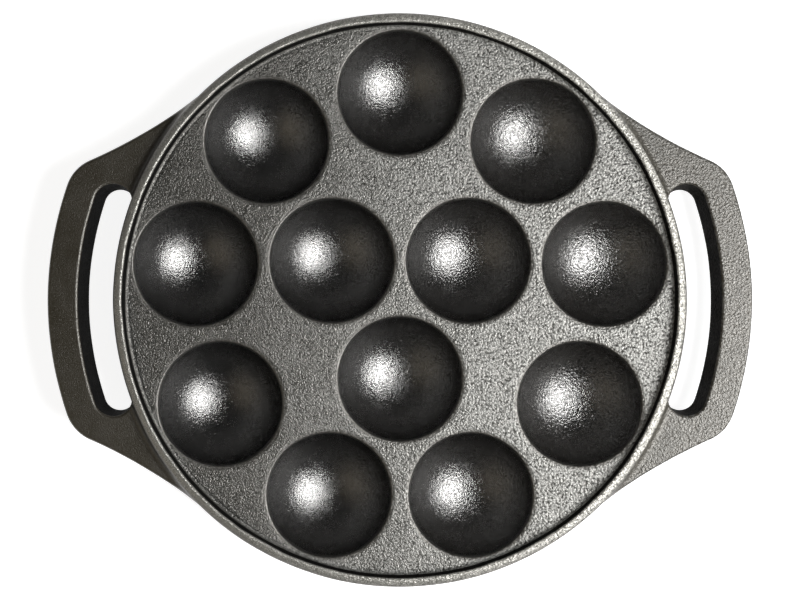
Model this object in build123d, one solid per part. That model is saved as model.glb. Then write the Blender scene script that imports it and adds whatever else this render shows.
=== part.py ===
from build123d import *

import os
from math import acos, asin, atan2, cos, degrees, pi, radians, sin, sqrt

# Paniyaram pan: a round cast-iron plate with twelve bowl-shaped wells, a raised rim lip,
# a skirt below the rim, and a flat loop handle at each end.
# Millimetres. Origin at the bottom centre, on the table. +X runs through the right
# handle, +Z is up. The pan stands on the small flats under its wells.

# Wells
WELL_MOUTH_RADIUS = 24.9
WELL_DEPTH = 22.5
WELL_WALL = 3.6
WELL_FOOT_RADIUS = 6.0
WELL_FLOOR_RADIUS = 2.0
WELL_MOUTH_ROUNDING = 0.8
WELL_ROOT_FILLET = 2.5

# Layout of the wells: an outer ring, and an inner ring of three that sit between them
OUTER_WELL_COUNT = 9
OUTER_WELL_GAP = 7.0
OUTER_RING_START = 90.0
INNER_WELL_COUNT = 3
INNER_WELL_GAP = 4.8
INNER_RING_START = 150.0

# Deck: the flat plate that the wells hang from
DECK_THICKNESS = 4.5
DECK_MARGIN = 2.0

# Rim: the lip above the deck and the skirt below it
RIM_THICKNESS = 4.3
LIP_HEIGHT = 5.0
LIP_DOME_RADIUS = 4.2
LIP_DOME_ANGLE = 30.0
LIP_INNER_ROUNDING = 0.8
LIP_FOOT_FILLET = 1.4
LIP_INNER_DRAFT = 0.6
SKIRT_BELOW_HANDLE = 3.3
SKIRT_EDGE_THICKNESS = 3.0
SKIRT_EDGE_ROUNDING = 1.0

# Loop handles
HANDLE_THICKNESS = 12.0
HANDLE_BELOW_CREST = 5.2
HANDLE_ROOT_ANGLE = 50.0
HANDLE_CORNER_ANGLE = 19.0
HANDLE_CORNER_RADIUS = 17.0
HANDLE_EDGE_ROUNDING = 1.2
HANDLE_ROOT_FILLET = 3.0
HANDLE_UNDER_FILLET = 2.0
HANDLE_TIP_WIDTH = 1.2
BAR_WIDTH = 12.3
SLOT_WIDTH = 14.6
SLOT_HALF_ANGLE = 18.6
SLOT_TAPER = 2.5
SLOT_EDGE_ROUNDING = 1.2
SLOT_RIM_BITE = 0.8

# Radii worked out from the wells, from the middle of the pan outwards
OUTER_RING_RADIUS = (2 * WELL_MOUTH_RADIUS + OUTER_WELL_GAP) / (2 * sin(pi / OUTER_WELL_COUNT))
INNER_RING_RADIUS = (2 * WELL_MOUTH_RADIUS + INNER_WELL_GAP) / (2 * sin(pi / INNER_WELL_COUNT))
DECK_RADIUS = OUTER_RING_RADIUS + WELL_MOUTH_RADIUS + DECK_MARGIN
RIM_RADIUS = DECK_RADIUS + RIM_THICKNESS
SLOT_OUTER_RADIUS = RIM_RADIUS + SLOT_WIDTH
REACH_RADIUS = SLOT_OUTER_RADIUS + BAR_WIDTH

# Each well is part of a sphere, and its outer face is the same sphere grown by the wall
SPHERE_RADIUS = (WELL_MOUTH_RADIUS**2 + WELL_DEPTH**2) / (2 * WELL_DEPTH)
SHELL_RADIUS = SPHERE_RADIUS + WELL_WALL
FOOT_CUT = SHELL_RADIUS - sqrt(SHELL_RADIUS**2 - WELL_FOOT_RADIUS**2)

# Heights worked out from the wells, from the table upwards
DECK_TOP = WELL_DEPTH + WELL_WALL - FOOT_CUT
DECK_UNDERSIDE = DECK_TOP - DECK_THICKNESS
SPHERE_CENTRE = DECK_TOP - WELL_DEPTH + SPHERE_RADIUS
CREST = DECK_TOP + LIP_HEIGHT
HANDLE_TOP = CREST - HANDLE_BELOW_CREST
HANDLE_UNDERSIDE = HANDLE_TOP - HANDLE_THICKNESS
SKIRT_FOOT = HANDLE_UNDERSIDE - SKIRT_BELOW_HANDLE

# The lip's crest slopes outwards as a low dome, and a tighter rounding takes it to the wall
LIP_DOME_START = DECK_RADIUS + LIP_INNER_DRAFT + LIP_INNER_ROUNDING
LIP_DOME_REACH = LIP_DOME_RADIUS * sin(radians(LIP_DOME_ANGLE))
LIP_OUTER_ROUNDING = (RIM_RADIUS - LIP_DOME_START - LIP_DOME_REACH) / (
    1 - sin(radians(LIP_DOME_ANGLE))
)
LIP_WALL_TOP = (
    CREST
    - LIP_DOME_RADIUS * (1 - cos(radians(LIP_DOME_ANGLE)))
    - LIP_OUTER_ROUNDING * cos(radians(LIP_DOME_ANGLE))
)

# How far cutting shapes run past the faces that they cut
PAST = 5.0


def polar(radius, angle, height=0.0):
    """Point at a radius and an angle in degrees about the pan's axis."""
    return Vector(radius * cos(radians(angle)), radius * sin(radians(angle)), height)


def ring_places(count, radius, start):
    """Centres of wells evenly spaced on one ring."""
    return [polar(radius, start + index * 360 / count) for index in range(count)]


def turned(profile_lines):
    """Solid of revolution about +Z of a closed outline drawn in the XZ plane."""
    outline = Face(Wire(profile_lines))
    return Solid.revolve(outline, 360, Axis.Z)


def cylinder(radius, low, high):
    """Upright cylinder about the pan's axis between two heights."""
    return Solid.make_cylinder(radius, high - low, Plane.XY.offset(low))


def arc(centre_x, centre_z, radius, start, end):
    """Arc in the XZ plane about a centre, from one angle to another, in degrees."""

    def at(angle):
        return Vector(
            centre_x + radius * cos(radians(angle)), 0, centre_z + radius * sin(radians(angle))
        )

    return Edge.make_three_point_arc(at(start), at((start + end) / 2), at(end))


def line(x_1, z_1, x_2, z_2):
    """Straight edge in the XZ plane."""
    return Edge.make_line((x_1, 0, z_1), (x_2, 0, z_2))


WELL_CENTRES = ring_places(OUTER_WELL_COUNT, OUTER_RING_RADIUS, OUTER_RING_START)
WELL_CENTRES += ring_places(INNER_WELL_COUNT, INNER_RING_RADIUS, INNER_RING_START)


def deck_plate():
    """Flat plate with a spherical bore and a rounded mouth at each well."""
    plate = cylinder(DECK_RADIUS, DECK_UNDERSIDE, DECK_TOP)
    for centre in WELL_CENTRES:
        plate -= Pos(centre.X, centre.Y, SPHERE_CENTRE) * Sphere(SPHERE_RADIUS)
    mouths = [
        edge
        for edge in plate.edges().filter_by(GeomType.CIRCLE)
        if edge.center().Z > DECK_TOP - WELL_MOUTH_ROUNDING and edge.radius < DECK_RADIUS / 2
    ]
    return fillet(mouths, WELL_MOUTH_ROUNDING)


def well_bowl_blank():
    """One bowl below the deck, at the middle of the pan.

    Its root flares out to the deck, and its floor and foot have small flats.
    """
    top = DECK_UNDERSIDE
    foot = DECK_TOP - WELL_DEPTH - WELL_WALL + FOOT_CUT
    inner_start = degrees(asin((top - SPHERE_CENTRE) / SPHERE_RADIUS))
    inner_radius = SPHERE_RADIUS * cos(radians(inner_start))
    # The root fillet touches the outer sphere and the underside of the deck.
    flare_height = top - WELL_ROOT_FILLET
    flare_reach = SHELL_RADIUS + WELL_ROOT_FILLET
    flare_angle = degrees(asin((flare_height - SPHERE_CENTRE) / flare_reach))
    flare_radius = flare_reach * cos(radians(flare_angle))
    foot_angle = -degrees(acos(WELL_FOOT_RADIUS / SHELL_RADIUS))
    floor_angle = -degrees(acos(WELL_FLOOR_RADIUS / SPHERE_RADIUS))
    floor = SPHERE_CENTRE - sqrt(SPHERE_RADIUS**2 - WELL_FLOOR_RADIUS**2)
    outline = [
        line(0, floor, WELL_FLOOR_RADIUS, floor),
        arc(0, SPHERE_CENTRE, SPHERE_RADIUS, floor_angle, inner_start),
        line(inner_radius, top, flare_radius, top),
        arc(flare_radius, flare_height, WELL_ROOT_FILLET, 90, 180 + flare_angle),
        arc(0, SPHERE_CENTRE, SHELL_RADIUS, flare_angle, foot_angle),
        line(WELL_FOOT_RADIUS, foot, 0, foot),
        line(0, foot, 0, floor),
    ]
    return turned(outline)


def well_bowls():
    """All bowls, each cut off halfway to its neighbours and where the skirt begins."""
    blank = well_bowl_blank()
    reach = blank.bounding_box().max.X
    inside_skirt = Solid.make_cone(
        skirt_inner_radius(0), skirt_inner_radius(DECK_UNDERSIDE), DECK_UNDERSIDE
    )
    bowls = []
    for centre in WELL_CENTRES:
        bowl = Pos(centre.X, centre.Y, 0) * blank
        for other in WELL_CENTRES:
            apart = other - centre
            if 0 < apart.length < 2 * reach:
                halfway = Plane((centre + other) / 2, z_dir=apart)
                bowl = split(bowl, bisect_by=halfway, keep=Keep.BOTTOM)
        if centre.length + reach > skirt_inner_radius(0):
            bowl &= inside_skirt
        bowls.append(bowl)
    return bowls


def skirt_inner_radius(height):
    """Inner radius of the skirt, which gets thinner towards its lower edge."""
    narrowing = (RIM_THICKNESS - SKIRT_EDGE_THICKNESS) / (DECK_TOP - SKIRT_FOOT)
    return DECK_RADIUS + narrowing * (DECK_TOP - height)


def rim_lip():
    """Lip above the deck: a domed crest, an inner face with draft, and a fillet at its foot."""
    inner_crest = DECK_RADIUS + LIP_INNER_DRAFT
    outer = LIP_OUTER_ROUNDING
    inner = LIP_INNER_ROUNDING
    foot = LIP_FOOT_FILLET
    meeting = 90 - LIP_DOME_ANGLE
    outline = [
        line(RIM_RADIUS, DECK_TOP, RIM_RADIUS, LIP_WALL_TOP),
        arc(RIM_RADIUS - outer, LIP_WALL_TOP, outer, 0, meeting),
        arc(LIP_DOME_START, CREST - LIP_DOME_RADIUS, LIP_DOME_RADIUS, meeting, 90),
        arc(inner_crest + inner, CREST - inner, inner, 90, 180),
        line(inner_crest, CREST - inner, DECK_RADIUS, DECK_TOP + foot),
        arc(DECK_RADIUS - foot, DECK_TOP + foot, foot, 0, -90),
        line(DECK_RADIUS - foot, DECK_TOP, RIM_RADIUS, DECK_TOP),
    ]
    return turned(outline)


def rim_skirt():
    """Wall below the lip, which goes down past the handles and leaves the bowls showing."""
    inner_foot = skirt_inner_radius(SKIRT_FOOT)
    edge = SKIRT_EDGE_ROUNDING
    outline = [
        line(DECK_RADIUS, DECK_TOP, RIM_RADIUS, DECK_TOP),
        line(RIM_RADIUS, DECK_TOP, RIM_RADIUS, SKIRT_FOOT + edge),
        arc(RIM_RADIUS - edge, SKIRT_FOOT + edge, edge, 0, -90),
        line(RIM_RADIUS - edge, SKIRT_FOOT, inner_foot, SKIRT_FOOT),
        line(inner_foot, SKIRT_FOOT, DECK_RADIUS, DECK_TOP),
    ]
    return turned(outline)


def direction(vector):
    """Angle of a vector in the XY plane, in degrees from 0 to 360."""
    return degrees(atan2(vector.Y, vector.X)) % 360


def plan_arc(centre, radius, start, end):
    """Arc in the XY plane about a centre, from one angle to another, in degrees."""
    return Edge.make_three_point_arc(
        centre + polar(radius, start),
        centre + polar(radius, (start + end) / 2),
        centre + polar(radius, end),
    )


def handle_outline():
    """Right handle from above: hollow flanks, round corners and an outer edge about the axis.

    Each flank's circle touches the rim at the root angle, and is cut off where the handle
    has narrowed to its tip width. The outline closes inside the rim.
    """
    corner = HANDLE_CORNER_RADIUS
    corner_reach = REACH_RADIUS - corner
    between = cos(radians(HANDLE_ROOT_ANGLE - HANDLE_CORNER_ANGLE))
    gap_squared = RIM_RADIUS**2 + corner_reach**2 - 2 * RIM_RADIUS * corner_reach * between
    flank = (gap_squared - corner**2) / (2 * (corner_reach * between + corner - RIM_RADIUS))
    flank_reach = RIM_RADIUS + flank
    flank_centre = polar(flank_reach, HANDLE_ROOT_ANGLE)
    corner_centre = polar(corner_reach, HANDLE_CORNER_ANGLE)
    tip_radius = RIM_RADIUS + HANDLE_TIP_WIDTH
    tip_turn = (flank_reach**2 + tip_radius**2 - flank**2) / (2 * flank_reach * tip_radius)
    tip_angle = HANDLE_ROOT_ANGLE - degrees(acos(tip_turn))
    tip = polar(tip_radius, tip_angle)
    inside = polar(RIM_RADIUS - RIM_THICKNESS / 2, tip_angle)
    start_angle = direction(tip - flank_centre)
    meeting_angle = direction(flank_centre - corner_centre)
    upper = [
        Edge.make_line(inside, tip),
        plan_arc(flank_centre, flank, start_angle, meeting_angle + 180),
        plan_arc(corner_centre, corner, meeting_angle, HANDLE_CORNER_ANGLE),
    ]
    outer_edge = plan_arc(Vector(0, 0), REACH_RADIUS, HANDLE_CORNER_ANGLE, -HANDLE_CORNER_ANGLE)
    lower = [edge.mirror(Plane.XZ) for edge in upper]
    closing = Edge.make_line(inside, Vector(inside.X, -inside.Y))
    return Face(Wire(upper + [outer_edge] + lower + [closing]))


def slot_outline(outer_radius, height):
    """Curved slot from above: two edges about the pan's axis and round ends."""
    inner_radius = RIM_RADIUS - SLOT_RIM_BITE
    middle_radius = (outer_radius + inner_radius) / 2
    half_width = (outer_radius - inner_radius) / 2
    angle = SLOT_HALF_ANGLE
    up = Vector(0, 0, height)
    edges = [
        plan_arc(up, outer_radius, -angle, angle),
        plan_arc(up + polar(middle_radius, angle), half_width, angle, angle + 180),
        plan_arc(up, inner_radius, angle, -angle),
        plan_arc(up + polar(middle_radius, -angle), half_width, 180 - angle, 360 - angle),
    ]
    return Face(Wire(edges))


def slot_tool():
    """Cutter for the slot, narrower at the bottom where the bar's inner face leans in."""
    lean = SLOT_TAPER / HANDLE_THICKNESS
    top = slot_outline(SLOT_OUTER_RADIUS + lean * PAST, HANDLE_TOP + PAST)
    narrowest = SLOT_OUTER_RADIUS - SLOT_TAPER - lean * PAST
    bottom = slot_outline(narrowest, HANDLE_UNDERSIDE - PAST)
    return loft([top, bottom], ruled=True)


def root_fillet(height, side, size):
    """Ring of the fillet between the rim's wall and the handle's top (side 1) or underside (-1)."""
    far = RIM_RADIUS + size
    outline = [
        line(RIM_RADIUS, height, far, height),
        arc(far, height + side * size, size, -90 * side, -180 * side),
        line(RIM_RADIUS, height + side * size, RIM_RADIUS, height),
    ]
    return turned(outline)


def on_slot_edge(edge):
    """Whether an edge of the handle runs round the slot's mouth, above or below."""
    middle = edge @ 0.5
    off_face = min(abs(middle.Z - HANDLE_TOP), abs(middle.Z - HANDLE_UNDERSIDE))
    from_axis = sqrt(middle.X**2 + middle.Y**2)
    return off_face < 0.01 and RIM_RADIUS < from_axis < SLOT_OUTER_RADIUS + 0.01


def handle_blank():
    """Right handle in one piece, up to the rim's outer wall, with its slot and roundings."""
    outline = Pos(0, 0, HANDLE_UNDERSIDE) * handle_outline()
    slot = slot_tool()
    plate = extrude(outline, HANDLE_THICKNESS, dir=(0, 0, 1))
    outer_edges = plate.edges().filter_by(GeomType.CIRCLE)
    plate = fillet(outer_edges, min(HANDLE_EDGE_ROUNDING, 0.4 * HANDLE_THICKNESS)) - slot
    slot_edges = [edge for edge in plate.edges() if on_slot_edge(edge)]
    plate = fillet(slot_edges, min(SLOT_EDGE_ROUNDING, 0.3 * HANDLE_THICKNESS))
    plate -= cylinder(RIM_RADIUS, HANDLE_UNDERSIDE - PAST, HANDLE_TOP + PAST)
    # The fillets at the root stand on the flat of the handle's top and underside.
    flats = plate.faces().filter_by(GeomType.PLANE).sort_by(Axis.Z)
    over = min(HANDLE_ROOT_FILLET, LIP_WALL_TOP - HANDLE_TOP)
    under = min(HANDLE_UNDER_FILLET, SKIRT_BELOW_HANDLE - SKIRT_EDGE_ROUNDING)
    plate += extrude(flats[-1], over, dir=(0, 0, 1)) & root_fillet(HANDLE_TOP, 1, over)
    plate += extrude(flats[0], under, dir=(0, 0, -1)) & root_fillet(HANDLE_UNDERSIDE, -1, under)
    return plate


def handle_pieces():
    """The right handle as its grip bar and the two shoulders that join it to the rim."""
    blank = handle_blank()
    upper_cut = Plane((0, 0, 0), z_dir=polar(1, SLOT_HALF_ANGLE + 90))
    lower_cut = Plane((0, 0, 0), z_dir=polar(1, -SLOT_HALF_ANGLE - 90))
    right_half = Pos(2 * REACH_RADIUS, 0, 0) * Box(
        4 * REACH_RADIUS, 4 * REACH_RADIUS, 4 * REACH_RADIUS
    )
    rear = split(blank, bisect_by=upper_cut, keep=Keep.TOP)
    rest = split(blank, bisect_by=upper_cut, keep=Keep.BOTTOM)
    front = split(rest, bisect_by=lower_cut, keep=Keep.TOP)
    grip = split(rest, bisect_by=lower_cut, keep=Keep.BOTTOM)
    return {"shoulder_rear": rear, "shoulder_front": front, "grip": grip & right_half}


def build_nodes():
    """Every sub-part by name."""
    nodes = {"deck_plate": deck_plate(), "rim_lip": rim_lip(), "rim_skirt": rim_skirt()}
    for number, bowl in enumerate(well_bowls(), start=1):
        nodes[f"well_bowl_{number:02d}"] = bowl
    for name, piece in handle_pieces().items():
        nodes[f"handle_right_{name}"] = piece
        nodes[f"handle_left_{name}"] = mirror(piece, Plane.YZ)
    return nodes


os.makedirs("parts", exist_ok=True)
for node_name, shape in build_nodes().items():
    shape.label = node_name
    export_step(shape, f"parts/{node_name}.step")
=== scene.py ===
import logging
import math
from collections.abc import Callable
from dataclasses import dataclass, field
from enum import Enum

import bpy
import numpy as np
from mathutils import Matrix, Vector


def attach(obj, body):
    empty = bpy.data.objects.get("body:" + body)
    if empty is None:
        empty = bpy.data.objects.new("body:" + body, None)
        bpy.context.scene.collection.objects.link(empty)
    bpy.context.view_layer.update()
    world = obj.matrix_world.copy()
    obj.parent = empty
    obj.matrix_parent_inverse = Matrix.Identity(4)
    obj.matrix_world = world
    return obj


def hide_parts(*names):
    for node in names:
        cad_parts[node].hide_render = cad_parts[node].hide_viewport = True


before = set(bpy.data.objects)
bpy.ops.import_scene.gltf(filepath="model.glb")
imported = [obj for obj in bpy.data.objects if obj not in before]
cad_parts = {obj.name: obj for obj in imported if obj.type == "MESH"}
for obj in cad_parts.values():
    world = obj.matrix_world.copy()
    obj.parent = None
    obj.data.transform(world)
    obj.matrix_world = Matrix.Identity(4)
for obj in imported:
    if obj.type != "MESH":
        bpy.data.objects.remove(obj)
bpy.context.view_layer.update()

# Looks of a cast-iron paniyaram pan: a round deck with twelve bowl-shaped wells, a raised lip
# with a skirt below it, and a flat loop handle at each end.
# Shapes are worked out in millimetres in the frame of the CAD and written in metres. The pan
# stands on the floor at z = 0, +X runs through the right handle and +Z is up.

LOG = logging.getLogger("paniyaram_pan")
MM = 0.001
Array = np.ndarray
Colour = tuple[float, float, float]
Socket = bpy.types.NodeSocket

OUTER_WELLS = 9
INNER_WELLS = 3

# Points round the rim, which the deck, the lip and the skirt share
RIM_POINTS = 720

# A hash gives a lattice corner its number: a factor for each axis and one for the seed, then
# rounds that each shift and multiply, all in 32 bits
HASH_AXES = np.array([374761393, 668265263, 2246822519], dtype=np.uint64)
HASH_SEED = 3266489
HASH_ROUNDS = ((13, 1274126177), (15, 2654435761), (16, 1))
HASH_MASK = np.uint64(0xFFFFFFFF)
HASH_HALF = 2147483648.0

# Keeps lattice places positive
LATTICE_ORIGIN = 1000.0

# Cells to the millimetre in which points are joined, and a shift that keeps round numbers off
# the cells' borders
WELD_CELLS = 1.0e4
WELD_SHIFT = 0.37

# Angle in degrees above which an edge is shaded as a sharp one
SHARP_ANGLE = 38.0


class Side(Enum):
    """End of the pan that a handle is on, as the sign of its X."""

    LEFT = -1
    RIGHT = 1


class Edge(Enum):
    """Shoulder of a handle, as the sign of its Y."""

    FRONT = -1
    REAR = 1


# Shared arithmetic


def smoothstep(values: Array, low: float, high: float) -> Array:
    """Rise from 0 at low to 1 at high as 3t^2 - 2t^3.

    Args:
        values: Numbers of any shape.
        low: Where the rise begins.
        high: Where it ends, which may be the smaller of the two.

    Returns:
        Numbers of the same shape, from 0 to 1.
    """
    share = np.clip((values - low) / (high - low), 0.0, 1.0)
    return share * share * (3.0 - 2.0 * share)


def lattice_noise(points: Array, wavelength: float, seed: int) -> Array:
    """Smooth random field of position, about one bump to a wavelength.

    A hash gives each corner of a cubic lattice a number from -1 to 1, and a point takes the
    blend of the eight corners round it, weighted by 6t^5 - 15t^4 + 10t^3 along each axis.

    Args:
        points: Positions in millimetres, one row each.
        wavelength: Lattice spacing in millimetres.
        seed: Picks one of many fields.

    Returns:
        One number for each point.
    """
    scaled = points / wavelength + LATTICE_ORIGIN
    cell = np.floor(scaled).astype(np.uint64)
    part = scaled - np.floor(scaled)
    part = part**3 * (part * (part * 6.0 - 15.0) + 10.0)
    total = np.zeros(len(points))
    for corner in np.ndindex(2, 2, 2):
        where = cell + np.array(corner, dtype=np.uint64)
        mixed = ((where * HASH_AXES).sum(axis=1) + np.uint64(seed * HASH_SEED)) & HASH_MASK
        for shift, factor in HASH_ROUNDS:
            mixed = ((mixed ^ (mixed >> np.uint64(shift))) * np.uint64(factor)) & HASH_MASK
        weights = np.where(np.array(corner) == 1, part, 1.0 - part)
        total += (mixed.astype(float) / HASH_HALF - 1.0) * weights.prod(axis=1)
    return total


def two_octaves(points: Array, waves: tuple[float, float], seeds: tuple[int, int],
                long_share: float = 0.6) -> Array:
    """Sum of a slow and a quick noise, from -1 to 1.

    Args:
        points: Positions in millimetres.
        waves: Wavelengths of the two.
        seeds: Seeds of the two.
        long_share: Share of the slow one.

    Returns:
        One number for each point.
    """
    slow, quick = (lattice_noise(points, wave, seed) for wave, seed in zip(waves, seeds))
    return long_share * slow + (1.0 - long_share) * quick


def polar(radius: Array | float, angle: Array | float) -> Array:
    """Plan points at radii and angles in degrees about the pan's axis."""
    turn = np.radians(angle)
    return np.stack(np.broadcast_arrays(radius * np.cos(turn), radius * np.sin(turn)), axis=-1)


def rim_turns() -> Array:
    """Angles in degrees of the points round the rim, from the rear anticlockwise."""
    return 90.0 + np.arange(RIM_POINTS) * 360.0 / RIM_POINTS


def at_height(plan: Array, height: float | Array) -> Array:
    """Plan points given a height."""
    level = np.broadcast_to(height, (*plan.shape[:-1], 1))
    return np.concatenate([plan, level], axis=-1)


def lengths(vectors: Array) -> Array:
    """Length of each vector along the last axis."""
    return np.sqrt((vectors**2).sum(axis=-1))


def unit(vectors: Array) -> Array:
    """Vectors of length 1 along the last axis."""
    return vectors / lengths(vectors)[..., None]


def arc_profile(centre: tuple[float, float], radius: float, start: float, end: float,
                count: int) -> Array:
    """Points (radius, height) on an arc in the profile plane, from one angle to another.

    Args:
        centre: Radius and height of the arc's centre.
        radius: Radius of the arc.
        start: First angle in degrees from the outward direction.
        end: Last angle.
        count: Number of points.

    Returns:
        One row (radius, height) for each point.
    """
    turn = np.radians(np.linspace(start, end, count))
    return np.stack([centre[0] + radius * np.cos(turn), centre[1] + radius * np.sin(turn)], axis=1)


def straight(start: tuple[float, float], end: tuple[float, float], count: int) -> Array:
    """Points evenly spaced on a straight line in the profile plane, ends included."""
    return np.linspace(np.array(start), np.array(end), count)


@dataclass(frozen=True)
class CastingWaviness:
    """Slow unevenness of a sand casting: one field of position that moves every surface alike.

    Since it depends on position alone, surfaces that share an edge still share it.
    """

    # Largest move sideways in millimetres
    plan_reach: float = 0.11
    # Largest move down
    height_reach: float = 0.10
    # Share by which the plan is drawn in, so that it stays in the CAD's box
    plan_shrink: float = 0.0012
    # Wavelengths of the slow and the quick noise
    waves: tuple[float, float] = (31.0, 9.0)
    # Share of the slow noise
    long_share: float = 0.62
    # Seeds of the two along X. The other axes take the next ones
    seeds: tuple[int, int] = (11, 23)
    level_height: float = 6.0

    def moved(self, points: Array) -> Array:
        """Points moved by the noise, to and fro at the sides and only down in height.

        Args:
            points: Positions in millimetres.

        Returns:
            Moved positions. The feet at height 0 stay level.
        """
        fields = [
            two_octaves(
                points, self.waves, (self.seeds[0] + axis, self.seeds[1] + axis), self.long_share
            )
            for axis in range(3)
        ]
        moved = points.copy()
        for axis in (0, 1):
            moved[:, axis] += self.plan_reach * fields[axis] - self.plan_shrink * points[:, axis]
        level = smoothstep(points[:, 2], 0.0, self.level_height)
        moved[:, 2] += self.height_reach * (fields[2] - 1.0) / 2 * level
        return moved


@dataclass
class Shell:
    """Grids of one piece, joined into a closed mesh where their edges coincide."""

    points: list[Array] = field(default_factory=list)
    quads: list[Array] = field(default_factory=list)
    marks: dict[str, list[Array]] = field(default_factory=dict)
    count: int = 0

    def add_grid(self, grid: Array, wrap_rows: bool = False, wrap_columns: bool = False,
                 zip_ends: bool = False, **marks: Array | float) -> None:
        """Adds a grid of points as quads whose outward side is rows direction cross columns.

        Args:
            grid: Points with axes (row, column, xyz).
            wrap_rows: Whether the last row joins the first.
            wrap_columns: Whether the last column joins the first.
            zip_ends: Whether the first and last columns, each a closed loop whose second half
                runs back under its first, are closed by strips between the two halves.
            marks: Numbers for each point, as arrays that broadcast to (row, column).
        """
        rows, columns = grid.shape[:2]
        index = np.arange(rows * columns).reshape(rows, columns) + self.count
        if wrap_rows:
            index = np.vstack([index, index[:1]])
        if wrap_columns:
            index = np.hstack([index, index[:, :1]])
        quads = np.stack([index[:-1, :-1], index[1:, :-1], index[1:, 1:], index[:-1, 1:]], axis=-1)
        self.quads.append(quads.reshape(-1, 4))
        if zip_ends:
            over = np.arange(rows // 2 + 1)
            under = (rows - over) % rows
            strip = [over[:-1], over[1:], under[1:], under[:-1]]
            self.quads.append(np.stack([index[part, -1] for part in strip], axis=-1))
            self.quads.append(np.stack([index[part, 0] for part in strip[::-1]], axis=-1))
        self.points.append(grid.reshape(-1, 3))
        for name, values in marks.items():
            spread = np.broadcast_to(values, (rows, columns)).reshape(-1)
            self.marks.setdefault(name, [np.zeros(self.count)]).append(spread)
        self.count += rows * columns
        for name, parts in self.marks.items():
            missing = self.count - sum(len(part) for part in parts)
            if missing:
                parts.append(np.zeros(missing))

    def welded(self) -> tuple[Array, Array, Array, dict[str, Array]]:
        """Joins points closer than 0.1 micrometre and drops sides that this closes up.

        Returns:
            Points, quads, triangles and marks.
        """
        points = np.concatenate(self.points)
        quads = np.concatenate(self.quads)
        key = np.floor(points * WELD_CELLS + WELD_SHIFT).astype(np.int64)
        _, first, back = np.unique(key, axis=0, return_index=True, return_inverse=True)
        quads = back.reshape(-1)[quads]
        same = quads == np.roll(quads, -1, axis=1)
        whole = quads[~same.any(axis=1)]
        closed_up = same.sum(axis=1) == 1
        side = same[closed_up].argmax(axis=1)
        kept = (side[:, None] + np.arange(1, 4)) % 4
        triangles = np.take_along_axis(quads[closed_up], kept, axis=1)
        marks = {name: np.concatenate(parts)[first] for name, parts in self.marks.items()}
        return points[first], whole, triangles, marks


def linked(name: str, data: bpy.types.ID) -> bpy.types.Object:
    """New object at the origin for a mesh, a light or a camera, linked to the scene.

    Args:
        name: Name of the object.
        data: The mesh, light or camera.

    Returns:
        The new object.
    """
    thing = bpy.data.objects.new(name, data)
    bpy.context.scene.collection.objects.link(thing)
    return thing


def make_piece(name: str, shell: Shell, waviness: CastingWaviness) -> bpy.types.Object:
    """Turns a shell into a smooth mesh object at the origin.

    Args:
        name: Name of the object and its mesh.
        shell: Grids of the piece in millimetres.
        waviness: The casting's unevenness.

    Returns:
        The new object, linked to the scene.
    """
    points, quads, triangles, marks = shell.welded()
    points = waviness.moved(points) * MM
    mesh = bpy.data.meshes.new(name)
    mesh.vertices.add(len(points))
    mesh.vertices.foreach_set("co", points.astype(np.float32).ravel())
    mesh.loops.add(quads.size + triangles.size)
    mesh.loops.foreach_set(
        "vertex_index", np.concatenate([quads.ravel(), triangles.ravel()]).astype(np.int32)
    )
    starts = np.concatenate(
        [np.arange(len(quads)) * 4, quads.size + np.arange(len(triangles)) * 3]
    )
    mesh.polygons.add(len(starts))
    mesh.polygons.foreach_set("loop_start", starts.astype(np.int32))
    # Faces whose points all carry the painted-shade mark take the second, near-black material:
    # painted shade on walls that lie in shade
    painted_shade_share = marks.pop("soot", np.zeros(len(points)))
    finish = np.concatenate([painted_shade_share[quads].min(axis=1), painted_shade_share[triangles].min(axis=1)]) > 0.5
    mesh.polygons.foreach_set("material_index", finish.astype(np.int32))
    for mark, values in marks.items():
        layer = mesh.attributes.new(mark, "FLOAT", "POINT")
        layer.data.foreach_set("value", values.astype(np.float32))
    mesh.update(calc_edges=True)
    mesh.shade_smooth()
    mesh.set_sharp_from_angle(angle=math.radians(SHARP_ANGLE))
    return linked(name, mesh)


# Finishes


@dataclass(frozen=True)
class Finish:
    """How one kind of surface of the casting looks."""

    # Colour in the hollows of the grain
    hollow: Colour
    # Colour on the grain's peaks
    peak: Colour
    # Lowest roughness
    smoothest: float
    # Highest roughness
    roughest: float
    # Depth of the coarse sand grain in millimetres
    sand_depth: float
    # Depth of the fine grain in millimetres
    fine_depth: float


DECK_FINISH = Finish((0.006, 0.006, 0.005), (0.190, 0.193, 0.184), 0.26, 0.40, 0.500, 0.120)
WELL_FINISH = Finish((0.001, 0.001, 0.001), (0.004, 0.003, 0.002), 0.18, 0.31, 0.270, 0.110)
MOUTH_FINISH = Finish((0.003, 0.003, 0.002), (0.014, 0.013, 0.010), 0.36, 0.52, 0.300, 0.080)
RIM_FINISH = Finish((0.009, 0.008, 0.006), (0.042, 0.038, 0.028), 0.32, 0.50, 0.300, 0.080)
# Crest: rubbed iron, lighter partly from real rubbing and partly as a painted highlight of the lit
# crest
CREST_RUB_AND_HIGHLIGHT = Finish((0.070, 0.069, 0.062), (0.280, 0.275, 0.250), 0.20, 0.30, 0.420, 0.120)
HANDLE_FINISH = Finish((0.008, 0.006, 0.002), (0.024, 0.024, 0.022), 0.33, 0.46, 0.220, 0.100)
UNDER_FINISH = Finish((0.012, 0.012, 0.010), (0.050, 0.047, 0.040), 0.48, 0.68, 0.600, 0.100)
# Near-black finish painted on walls that lie in shade: the lip's inner face and the slot's walls
PAINTED_SHADE_FINISH = Finish((0.002, 0.002, 0.002), (0.008, 0.007, 0.006), 0.60, 0.80, 0.300, 0.080)


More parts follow.
